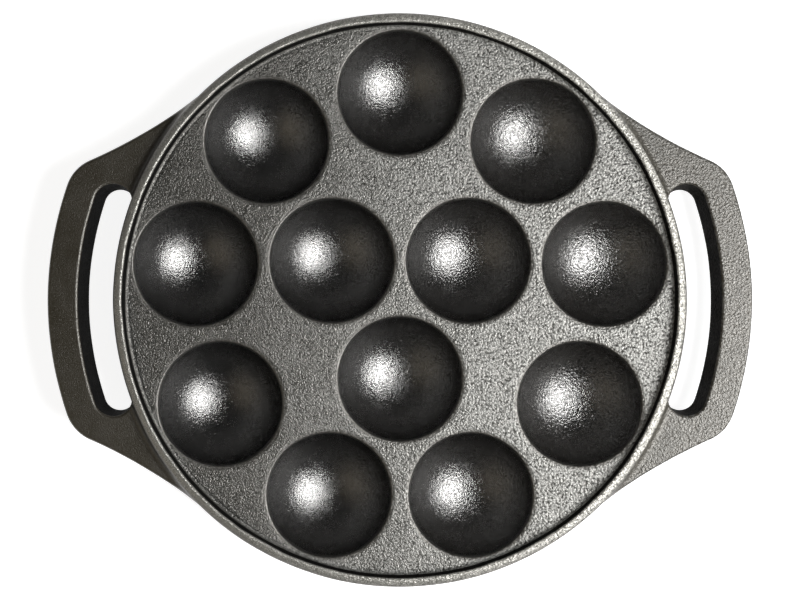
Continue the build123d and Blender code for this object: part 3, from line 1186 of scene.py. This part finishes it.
@dataclass
class Rim:
    """The lip above the deck and the skirt below it, each a profile turned about the axis."""

    sizes: PanSizes
    waviness: CastingWaviness
    # How far the lip's inner face leans out over its height
    inner_draft: float = 0.6
    inner_rounding: float = 0.8
    dome_radius: float = 4.2
    # Slope in degrees at which the dome gives way to the outer rounding
    dome_angle: float = 30.0
    skirt_foot: float = 9.964
    skirt_edge: float = 3.0
    edge_rounding: float = 1.0
    inner_edge_rounding: float = 0.5
    # How far the hand-ground crest wanders
    unevenness: float = 0.28
    # Wavelengths at which the crest's height wanders
    height_waves: tuple[float, float] = (14.0, 5.5)
    # Wavelengths at which the crest's inner edge wanders
    side_waves: tuple[float, float] = (11.0, 4.5)

    @staticmethod
    def turned(profile: Array) -> Array:
        """Profile (radius, height) turned about the pan's axis."""
        return at_height(polar(profile[:, None, 0], rim_turns()[None]), profile[:, None, 1:])

    def lip_profile(self) -> Array:
        """Lip: fillet at its foot, inner face with draft, domed crest, outer face.

        The crest is a low dome that slopes outwards and ends in a tighter rounding, whose
        radius follows from the wall that both have to fit on.

        Returns:
            Points (radius, height) of the closed profile.
        """
        sizes = self.sizes
        crest = sizes.crest
        inner_crest = sizes.deck_radius + self.inner_draft
        foot = arc_profile(
            (sizes.lip_foot_radius, sizes.deck_top + sizes.lip_foot_fillet),
            sizes.lip_foot_fillet, -90.0, 0.0, 9,
        )
        inner = straight(tuple(foot[-1]), (inner_crest, crest - self.inner_rounding), 8)
        dome_start = inner_crest + self.inner_rounding
        inner_edge = arc_profile(
            (dome_start, crest - self.inner_rounding), self.inner_rounding, 180.0, 90.0, 7
        )
        slope = math.radians(self.dome_angle)
        lean, rise = math.sin(slope), math.cos(slope)
        rounding = (sizes.rim_radius - dome_start - self.dome_radius * lean) / (1.0 - lean)
        wall_top = crest - self.dome_radius * (1.0 - rise) - rounding * rise
        meeting = 90.0 - self.dome_angle
        dome = arc_profile(
            (dome_start, crest - self.dome_radius), self.dome_radius, 90.0, meeting, 12
        )
        outer_edge = arc_profile(
            (sizes.rim_radius - rounding, wall_top), rounding, meeting, 0.0, 9
        )
        outer = straight(tuple(outer_edge[-1]), (sizes.rim_radius, sizes.deck_top), 6)
        hidden = np.array([
            [sizes.rim_radius - 1.6, sizes.deck_top - 0.6],
            [sizes.lip_foot_radius + 0.6, sizes.deck_top - 0.6],
        ])
        return np.vstack(
            [foot, inner[1:], inner_edge[1:], dome[1:], outer_edge[1:], outer[1:], hidden]
        )

    def wandering(self, grid: Array) -> Array:
        """The lip with the unevenness of a crest ground by hand.

        Its height only drops, and its inner edge moves to and fro, both more the higher up.

        Args:
            grid: Points of the lip.

        Returns:
            Moved points.
        """
        sizes = self.sizes
        rise = smoothstep(grid[..., 2], sizes.deck_top + 1.2, sizes.crest)
        plan = at_height(grid[..., :2], 0.0).reshape(-1, 3)
        height = two_octaves(plan, self.height_waves, (61, 62)).reshape(rise.shape)
        inwards = two_octaves(plan, self.side_waves, (63, 64)).reshape(rise.shape)
        radius = lengths(grid[..., :2])
        middle = sizes.rim_radius - sizes.rim_thickness / 2
        inner_share = 1.0 - smoothstep(radius, middle - 0.9, middle + 0.7)
        shift = self.unevenness * rise * inwards * inner_share
        drop = self.unevenness * rise * (height - 0.8) / 2
        moved = grid.copy()
        moved[..., :2] *= ((radius + shift) / radius)[..., None]
        moved[..., 2] += drop
        return moved

    def lip_marks(self, profile: Array) -> dict[str, Array]:
        """Shares of the deck's finish, of the rubbed crest's with its painted highlight, and of
        the near-black painted shade, for each row.

        Args:
            profile: Points (radius, height) of the lip.

        Returns:
            A column of shares for each mark.
        """
        sizes = self.sizes
        radius, height = profile.T
        near_deck = 1.0 - smoothstep(height, sizes.deck_top, sizes.deck_top + 2.2)
        near_deck *= radius < sizes.rim_radius - sizes.rim_thickness / 2
        # Painted shade: the lip's inner face, which lies in shade, is painted near-black
        soot = (height > sizes.deck_top + 0.8) & (height < sizes.crest - 0.5)
        soot &= radius < sizes.deck_radius + self.inner_draft + 0.2
        return {
            "edge_blend": near_deck[:, None],
            # Rubbed crest, lighter partly from real rubbing and partly as a painted highlight
            "crest_rub_and_highlight": smoothstep(height, sizes.crest - 1.2, sizes.crest - 0.1)[:, None],
            "soot": soot.astype(float)[:, None],
        }

    def skirt_grid(self) -> tuple[Array, Array]:
        """Skirt: upright outer face, rounded lower edge, and an inner face that leans out.

        Returns:
            Grid of points and the underside's share at each row.
        """
        sizes = self.sizes
        foot = self.skirt_foot
        narrowing = (sizes.rim_thickness - self.skirt_edge) / (sizes.deck_top - foot)
        inner_foot = sizes.deck_radius + narrowing * (sizes.deck_top - foot)
        edge, small = self.edge_rounding, self.inner_edge_rounding
        outer = straight((sizes.rim_radius, sizes.deck_top), (sizes.rim_radius, foot + edge), 16)
        outer_edge = arc_profile((sizes.rim_radius - edge, foot + edge), edge, 0.0, -90.0, 7)
        inner_edge = arc_profile((inner_foot + small, foot + small), small, -90.0, -180.0, 4)
        top = sizes.deck_top - 1.2
        inner_top = sizes.deck_radius + narrowing * (sizes.deck_top - top)
        inner = straight(tuple(inner_edge[-1]), (inner_top, top), 12)
        hidden = np.array([[sizes.rim_radius - 1.8, sizes.deck_top + 0.5]])
        profile = np.vstack([outer, outer_edge[1:], inner_edge, inner[1:], hidden])
        under = smoothstep(foot + 1.0 - profile[:, 1], 0.0, 0.8)
        under = np.where(profile[:, 0] < sizes.rim_radius - edge, 1.0, under)
        return self.turned(profile), under[:, None]

    def build(self, lip_materials: list[bpy.types.Material],
              skirt_material: bpy.types.Material) -> None:
        """Makes and places the lip and the skirt.

        Args:
            lip_materials: Iron of the lip, then the near-black one of painted shade.
            skirt_material: Iron of the skirt.
        """
        profile = self.lip_profile()
        lip = Shell()
        lip.add_grid(
            self.wandering(self.turned(profile)), wrap_rows=True, wrap_columns=True,
            **self.lip_marks(profile),
        )
        place(make_piece("lip", lip, self.waviness), lip_materials, "rim_iron", "rim_lip")
        grid, under = self.skirt_grid()
        skirt = Shell()
        skirt.add_grid(grid, wrap_rows=True, wrap_columns=True, under_blend=under)
        place(make_piece("skirt", skirt, self.waviness), [skirt_material], "rim_iron", "rim_skirt")


@dataclass
class Handle:
    """One loop handle: a grip bar along the slot, and a shoulder at each end of it.

    The shapes are worked out for the right handle's rear half and mirrored. Angles are in
    degrees about the pan's axis.
    """

    sizes: PanSizes
    waviness: CastingWaviness
    side: Side
    thickness: float = 12.0
    below_crest: float = 5.2
    # Where the flank meets the rim
    root_angle: float = 50.0
    # Where the corner's rounding starts
    corner_angle: float = 19.0
    corner_radius: float = 17.0
    edge_rounding: float = 1.2
    over_fillet: float = 3.0
    under_fillet: float = 2.0
    bar_width: float = 12.3
    slot_width: float = 14.6
    # Where the centres of the slot's round ends are
    slot_angle: float = 18.6
    # How much narrower the slot is at the underside
    slot_taper: float = 2.5
    slot_rounding: float = 1.2
    # How far the slot's ends reach into the rim's wall
    slot_bite: float = 0.8
    # How far the tip of the flank reaches into the rim's wall
    buried: float = 0.8
    # Angles between which the flank sinks into that wall
    sinks: tuple[float, float] = (44.5, 50.5)
    # Share of the outline that the corner's patch takes
    corner_share: float = 0.40
    # Angle round the slot's end that the corner's patch takes
    corner_turn: float = 100.0
    # Power that crowds the root's points near the rim
    crowding: float = 1.35
    # Distance over which the rim's finish gives way to the handle's
    rim_reach: float = 4.0
    # Heights above the underside between which the underside's finish gives way
    under_reach: tuple[float, float] = (0.2, 2.4)
    grip_columns: int = 100
    corner_columns: int = 46
    root_columns: int = 88
    flat_rows: int = 46
    rounding_rows: int = 8
    wall_rows: int = 5
    # Rows of the slot's wall and of its roundings that are painted near-black as shade
    soot_rows: int = 8

    @property
    def top(self) -> float:
        """Height of the handle's top."""
        return self.sizes.crest - self.below_crest

    def level(self, face: int) -> float:
        """Height of the handle's top for face 1, or of its underside for face -1."""
        return self.top if face > 0 else self.top - self.thickness

    @property
    def reach(self) -> float:
        """Radius of the bar's outer edge."""
        return self.sizes.rim_radius + self.slot_width + self.bar_width

    def flank(self) -> tuple[Array, float, Array]:
        """The hollow flank: a circle that touches the rim and the corner's circle from outside.

        Its radius comes from the law of cosines in the triangle of the pan's axis, the flank's
        centre and the corner's centre.

        Returns:
            Centre of the flank, its radius, and the centre of the corner.
        """
        rim = self.sizes.rim_radius
        corner_reach = self.reach - self.corner_radius
        between = math.cos(math.radians(self.root_angle - self.corner_angle))
        gap = rim**2 + corner_reach**2 - 2 * rim * corner_reach * between
        radius = (gap - self.corner_radius**2) / (
            2 * (corner_reach * between + self.corner_radius - rim)
        )
        centre = polar(rim + radius, self.root_angle)
        return centre, radius, polar(corner_reach, self.corner_angle)

    def outline(self) -> tuple[Array, Array]:
        """Outer edge from the cut at the end of the grip to the buried tip at the rim.

        Returns:
            Densely spaced plan points and their unit normals into the metal.
        """
        centre, radius, corner_centre = self.flank()
        joint = unit(centre - corner_centre)
        joint_turn = math.degrees(math.atan2(joint[1], joint[0]))
        run = polar(self.reach, np.linspace(self.slot_angle, self.corner_angle, 12))[:-1]
        corner_turns = np.linspace(self.corner_angle, joint_turn, 400)
        corner = corner_centre + polar(self.corner_radius, corner_turns)
        start = math.degrees(math.atan2(*(corner[-1] - centre)[::-1])) % 360.0
        end = (self.root_angle + 180.0 + 0.35) % 360.0
        hollow = centre + polar(radius, np.linspace(start, end, 700))
        points = np.concatenate([run, corner, hollow[1:]])
        turn = np.degrees(np.arctan2(points[:, 1], points[:, 0]))
        away = lengths(points)
        outside = np.maximum(away, self.sizes.rim_radius)
        sunk = outside - self.buried * smoothstep(turn, *self.sinks)
        sunk = np.where(turn < self.sinks[0], away, sunk)
        points = points * (sunk / away)[:, None]
        tangent = np.gradient(points, axis=0)
        normals = unit(np.stack([-tangent[:, 1], tangent[:, 0]], axis=1))
        return points, normals

    @staticmethod
    def resampled(points: Array, normals: Array, shares: Array) -> tuple[Array, Array]:
        """Points and normals at shares of the length of a line given by many points.

        Args:
            points: Plan points of the line.
            normals: Unit normals at these.
            shares: Shares of its length, from 0 to 1.

        Returns:
            Plan points and unit normals at the shares.
        """
        steps = lengths(np.diff(points, axis=0))
        along = np.concatenate([[0.0], np.cumsum(steps)])
        at = shares * along[-1]
        place_at = np.stack([np.interp(at, along, points[:, axis]) for axis in (0, 1)], axis=1)
        normal_at = np.stack([np.interp(at, along, normals[:, axis]) for axis in (0, 1)], axis=1)
        return place_at, unit(normal_at)

    def slot_end(self, turns: Array, depth: float) -> tuple[Array, Array]:
        """Round end of the slot at a depth below the handle's top.

        The slot's outer side leans in with depth, so its end is a smaller circle lower down.

        Args:
            turns: Angles in degrees about the end's centre, from the outward direction.
            depth: 0 at the top of the handle, 1 at its underside.

        Returns:
            Plan points and unit normals into the metal.
        """
        rim = self.sizes.rim_radius
        outer = rim + self.slot_width - self.slot_taper * depth
        inner = rim - self.slot_bite
        centre = polar((outer + inner) / 2, self.slot_angle)
        normals = polar(1.0, self.slot_angle + turns)
        return centre + (outer - inner) / 2 * normals, normals

    def side_rows(self, waist: Array, edge: Array, normal: Array, rounding: float,
                  face: int) -> list[tuple[Array, float, float]]:
        """Upper or lower half of a wall, then the quarter circle that takes it into the flat.

        A point at angle a of the rounding lies its radius times (1 - cos a) in from the wall
        and (1 - sin a) below the top.

        Args:
            waist: Plan points of the wall at half the handle's height.
            edge: Plan points of the wall where it meets the rounding.
            normal: Unit normals there, into the metal.
            rounding: Radius of the rounding.
            face: 1 for the half at the top, -1 for the one at the underside.

        Returns:
            For each row its plan points, its height and how much it follows the fillet's rise.
        """
        middle = self.top - self.thickness / 2
        level = self.level(face)
        wall = [
            (waist + (edge - waist) * share,
             middle + (level - face * rounding - middle) * share, share**2)
            for share in np.linspace(0.0, 1.0, self.wall_rows + 1)[:-1]
        ]
        quarter = [
            (edge + normal * rounding * (1.0 - math.cos(turn)),
             level - face * rounding * (1.0 - math.sin(turn)), 1.0)
            for turn in np.radians(np.linspace(0.0, 90.0, self.rounding_rows))
        ]
        return wall + quarter

    def section(self, outer: Array, outer_normal: Array, inner: list[Array],
                inner_normal: list[Array],
                fill: Callable[[Array, Array, int], list[Array]]) -> tuple[Array, Array]:
        """Closed section loops, one for each column, from the inner wall over the top and back.

        Args:
            outer: Plan points of the outer edge.
            outer_normal: Unit normals there, into the metal.
            inner: Plan points of the inner edge at the top, the middle and the underside.
            inner_normal: Unit normals of these.
            fill: Function of (start, end, rows) that fills the flat between the roundings.

        Returns:
            Grid (row, column, xyz), and for each row how much it follows the fillet's rise.
        """
        small, large = self.slot_rounding, self.edge_rounding
        halves = []
        for face, depth in ((1, 0), (-1, 2)):
            edge, normal = inner[depth], inner_normal[depth]
            start, end = edge + normal * small, outer + outer_normal * large
            half = self.side_rows(inner[1], edge, normal, small, face)
            half += [(plan, self.level(face), 1.0) for plan in fill(start, end, self.flat_rows)]
            half += self.side_rows(outer, outer, outer_normal, large, face)[::-1]
            halves.append([(plan, height, face * follow) for plan, height, follow in half])
        rows = halves[0] + halves[1][1:-1][::-1]
        grid = np.stack([at_height(plan, height) for plan, height, _ in rows])
        return grid, np.array([follow for _, _, follow in rows])

    @staticmethod
    def bridged(start: Array, end: Array, rows: int) -> list[Array]:
        """Rows evenly between two lines, the lines themselves left out."""
        shares = np.arange(1, rows + 1) / (rows + 1)
        return [start + (end - start) * share for share in shares]

    def root_patch(self, start: Array, end: Array, rows: int) -> list[Array]:
        """Fills the root between slot end, flank, corner line and rim as a Coons patch.

        A point is the blend of the two sides along one way plus that of the other way, minus
        the blend of the four corners. The last side follows the rim's circle inside its wall.

        Args:
            start: Plan points along the slot's end.
            end: Plan points along the flank.
            rows: Rows between them.

        Returns:
            Plan points of each row.
        """
        across = (np.arange(1, rows + 1) / (rows + 1))[:, None, None]
        along = self.root_shares()[None, :, None]
        first = start[:1] + (end[:1] - start[:1]) * across[:, 0]
        turns = np.degrees(np.arctan2([start[-1, 1], end[-1, 1]], [start[-1, 0], end[-1, 0]]))
        radii = lengths(np.stack([start[-1], end[-1]]))
        share = across[:, 0, 0]
        last = polar(
            radii[0] + (radii[1] - radii[0]) * share, turns[0] + (turns[1] - turns[0]) * share
        )
        ruled = start[None] * (1 - across) + end[None] * across
        other = first[:, None] * (1 - along) + last[:, None] * along
        corners = (
            (start[0] * (1 - across) + end[0] * across) * (1 - along)
            + (start[-1] * (1 - across) + end[-1] * across) * along
        )
        return list(ruled + other - corners)

    def root_shares(self) -> Array:
        """Shares along the root's sides, closer together near the rim."""
        even = np.linspace(0.0, 1.0, self.root_columns)
        return 1.0 - (1.0 - even) ** self.crowding

    def raised(self, grid: Array, follow: Array) -> Array:
        """Adds the fillets against the rim's wall: a quarter circle's height by distance.

        Args:
            grid: Section loops of a shoulder.
            follow: How much each row follows, positive above and negative below.

        Returns:
            The grid with its fillets.
        """
        away = lengths(grid[..., :2]) - self.sizes.rim_radius
        lifted = grid.copy()
        for size, sign in ((self.over_fillet, 1.0), (self.under_fillet, -1.0)):
            share = np.clip(away / size, 0.0, 1.0)
            rise = size * (1.0 - np.sqrt(1.0 - (1.0 - share) ** 2))
            weight = np.clip(follow * sign, 0.0, 1.0)[:, None]
            lifted[..., 2] += sign * rise * weight
        return lifted

    def shoulder_grid(self) -> Array:
        """Rear shoulder of the right handle, from the grip's end round the slot to the rim.

        Returns:
            Grid of a corner patch and a root patch, with axes (row, column, xyz).
        """
        points, normals = self.outline()
        even = np.linspace(0.0, 1.0, self.corner_columns)
        share, turn = self.corner_share, self.corner_turn
        patches = []
        for along, start, reach, first, sweep, fill in (
            (even, 0.0, share, 0.0, turn, self.bridged),
            (self.root_shares(), share, 1.0 - share, turn, 180.0 - turn, self.root_patch),
        ):
            outer, outer_normal = self.resampled(points, normals, start + reach * along)
            ends = [self.slot_end(first + sweep * along, depth) for depth in (0.0, 0.5, 1.0)]
            inner, inner_normal = zip(*ends)
            grid, follow = self.section(outer, outer_normal, inner, inner_normal, fill)
            patches.append(grid)
        corner, root = patches
        return self.raised(np.concatenate([corner, root[:, 1:]], axis=1), follow)

    def grip_grid(self) -> Array:
        """Grip bar of the right handle, front to rear.

        Returns:
            Grid with axes (row, column, xyz).
        """
        turns = np.linspace(-self.slot_angle, self.slot_angle, self.grip_columns)
        outer = polar(self.reach, turns)
        normal = polar(1.0, turns)
        inner = [
            polar(self.sizes.rim_radius + self.slot_width - self.slot_taper * depth, turns)
            for depth in (0.0, 0.5, 1.0)
        ]
        grid, _ = self.section(outer, -normal, inner, [normal] * 3, self.bridged)
        return grid

    def mirrored(self, grid: Array, edge: Edge) -> Array:
        """A grid of the right handle's rear half, taken to this handle and to one end of it."""
        moved = grid * np.array([self.side.value, edge.value, 1.0])
        return moved if self.side.value * edge.value > 0 else moved[:, ::-1]

    def marks(self, grid: Array) -> dict[str, Array]:
        """Shares of the rim's finish near its wall, of the underside's below, and of the
        near-black painted shade on the slot's walls.

        Args:
            grid: Points of a piece of the handle.

        Returns:
            Shares for each mark, which broadcast to the grid.
        """
        away = lengths(grid[..., :2]) - self.sizes.rim_radius
        height = grid[..., 2] - self.level(-1)
        row = np.arange(len(grid))
        # Painted shade: the slot's walls and their roundings, which lie in shade, are painted
        # near-black
        soot = (row < self.soot_rows) | (row > len(grid) - self.soot_rows)
        return {
            "edge_blend": 1.0 - smoothstep(away, 0.0, self.rim_reach),
            "under_blend": 1.0 - smoothstep(height, *self.under_reach),
            "soot": soot.astype(float)[:, None],
        }

    def build(self, materials: list[bpy.types.Material]) -> None:
        """Makes and places the grip bar and the two shoulders.

        Args:
            materials: Iron of the handle, then the near-black one of painted shade.
        """
        name = self.side.name.lower()
        parts = {"grip": self.mirrored(self.grip_grid(), Edge.REAR)}
        shoulder = self.shoulder_grid()
        for edge in Edge:
            parts[f"shoulder_{edge.name.lower()}"] = self.mirrored(shoulder, edge)
        for part, grid in parts.items():
            shell = Shell()
            shell.add_grid(grid, wrap_rows=True, zip_ends=True, **self.marks(grid))
            piece = make_piece(f"{part}_{name}", shell, self.waviness)
            place(piece, materials, "handle_iron", f"handle_{name}_{part}")


def place(piece: bpy.types.Object, materials: list[bpy.types.Material], slot: str,
          node: str) -> None:
    """Dresses a piece, lets it ride on the pan and stand for its CAD node, and reports it.

    Args:
        piece: The new object.
        materials: Its material, and where it has walls painted near-black as shade, theirs.
        slot: Not used.
        node: CAD node that it replaces.
    """
    for material in materials:
        piece.data.materials.append(material)
    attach(piece, "root")
    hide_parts(node)
    LOG.info("%s stands for %s with %d faces", piece.name, node, len(piece.data.polygons))


@dataclass
class Studio:
    """Pale floor, soft light and a camera straight above the pan."""

    camera_height: float = 0.70
    lens: float = 76.0
    floor_radius: float = 12.0
    floor_sides: int = 128
    # Share of the light that the floor gives back
    paper: float = 0.50
    # Light of the floor's own, which makes it white to the camera and in mirrors
    glow: float = 0.86
    aim: tuple[float, float, float] = (0.0, 0.0, 0.025)
    # Heights of a ray between which the bright walls give way to the ceiling
    walls_end: tuple[float, float] = (0.20, 0.50)
    # Strength of the ceiling
    ceiling: float = 0.035
    # How much lower the walls end on the left
    left_drop: float = 0.20

    def floor(self) -> None:
        """Round floor that the camera sees as white where no shadow falls."""
        turns = np.radians(np.arange(self.floor_sides) * 360.0 / self.floor_sides)
        ring = at_height(np.stack([np.cos(turns), np.sin(turns)], axis=1), 0.0)
        mesh = bpy.data.meshes.new("studio_floor")
        mesh.from_pydata(ring * self.floor_radius, [], [list(range(self.floor_sides))])
        material = bpy.data.materials.new("studio_floor_paper")
        bench = NodeBench(material)
        paper = bench.add("ShaderNodeBsdfDiffuse")
        bench.feed(paper.inputs["Color"], (self.paper, self.paper, self.paper))
        path = bench.add("ShaderNodeLightPath")
        seen = bench.math("ADD", path.outputs["Is Camera Ray"], path.outputs["Is Glossy Ray"])
        seen = bench.math("ADD", seen, path.outputs["Is Transmission Ray"], clamp=True)
        glow = bench.add("ShaderNodeEmission")
        bench.feed(glow.inputs["Color"], (1.0, 1.0, 1.0))
        bench.feed(glow.inputs["Strength"], bench.math("MULTIPLY", seen, self.glow))
        both = bench.add("ShaderNodeAddShader")
        bench.feed(both.inputs[0], paper.outputs[0])
        bench.feed(both.inputs[1], glow.outputs[0])
        bench.finish(both.outputs[0])
        mesh.materials.append(material)
        floor = linked("studio_floor", mesh)

    def lamp(self, name: str, place_at: Vector, size: float, power: float,
             colour: Colour = (1.0, 1.0, 1.0)) -> None:
        """Round soft light aimed at the middle of the pan.

        Args:
            name: Name of the light.
            place_at: Where it stands, in metres.
            size: Diameter in metres.
            power: Power in watts.
            colour: Its colour.
        """
        light = bpy.data.lights.new(name, "AREA")
        light.shape = "DISK"
        light.size = size
        light.energy = power
        light.color = colour
        lamp = linked(name, light)
        lamp.location = place_at
        aim = Vector(self.aim) - place_at
        lamp.rotation_euler = aim.to_track_quat("-Z", "Y").to_euler()

    def lights(self) -> None:
        """Large soft light from the right, and a weak warm one from the left."""
        self.lamp("key_light", Vector((0.43, -0.12, 0.56)), 0.50, 12.0)
        self.lamp("left_light", Vector((-1.10, -0.55, 0.95)), 1.40, 3.0, (1.0, 0.87, 0.68))

    def world(self) -> None:
        """Room: bright walls low down, lower on the left, and a dim ceiling, for every ray."""
        world = bpy.data.worlds.new("studio_room")
        bpy.context.scene.world = world
        bench = NodeBench(world)
        ray = bench.split(bench.add("ShaderNodeTexCoord").outputs["Generated"]).outputs
        drop = bench.mapped(ray["X"], -0.5, 0.5, self.left_drop, 0.0)
        height = bench.math("ADD", ray["Z"], drop)
        background = bench.add("ShaderNodeBackground")
        bench.feed(background.inputs["Color"], (1.0, 1.0, 1.0))
        strength = bench.mapped(height, *self.walls_end, 1.0, self.ceiling)
        bench.feed(background.inputs["Strength"], strength)
        bench.finish(background.outputs[0], "ShaderNodeOutputWorld")

    def camera(self) -> None:
        """Camera straight above the middle of the pan, with +Y up in the picture."""
        data = bpy.data.cameras.new("camera")
        data.lens = self.lens
        data.clip_start = 0.01
        data.clip_end = 50.0
        camera = linked("camera", data)
        camera.location = (0.0, 0.0, self.camera_height)
        bpy.context.scene.camera = camera

    def build(self) -> None:
        """Sets up camera, floor, lights and room."""
        self.camera()
        self.floor()
        self.lights()
        self.world()
        bpy.context.scene.view_settings.view_transform = "Standard"


def main() -> None:
    """Builds the pan and its studio."""
    logging.basicConfig(level=logging.INFO, format="%(message)s")
    sizes = PanSizes()
    waviness = CastingWaviness()
    Studio().build()
    irons = {iron.name: iron.material() for iron in IRONS}
    cells = [WellCell.cut(sizes, number) for number in range(OUTER_WELLS + INNER_WELLS)]
    Deck(sizes, waviness).build(cells, irons["deck_iron"])
    Wells(sizes, waviness).build(cells, irons["well_iron"])
    Rim(sizes, waviness).build([irons["lip_iron"], irons["sooty_iron"]], irons["skirt_iron"])
    for side in Side:
        Handle(sizes, waviness, side).build([irons["handle_iron"], irons["sooty_iron"]])


if __name__ == "__main__":
    main()
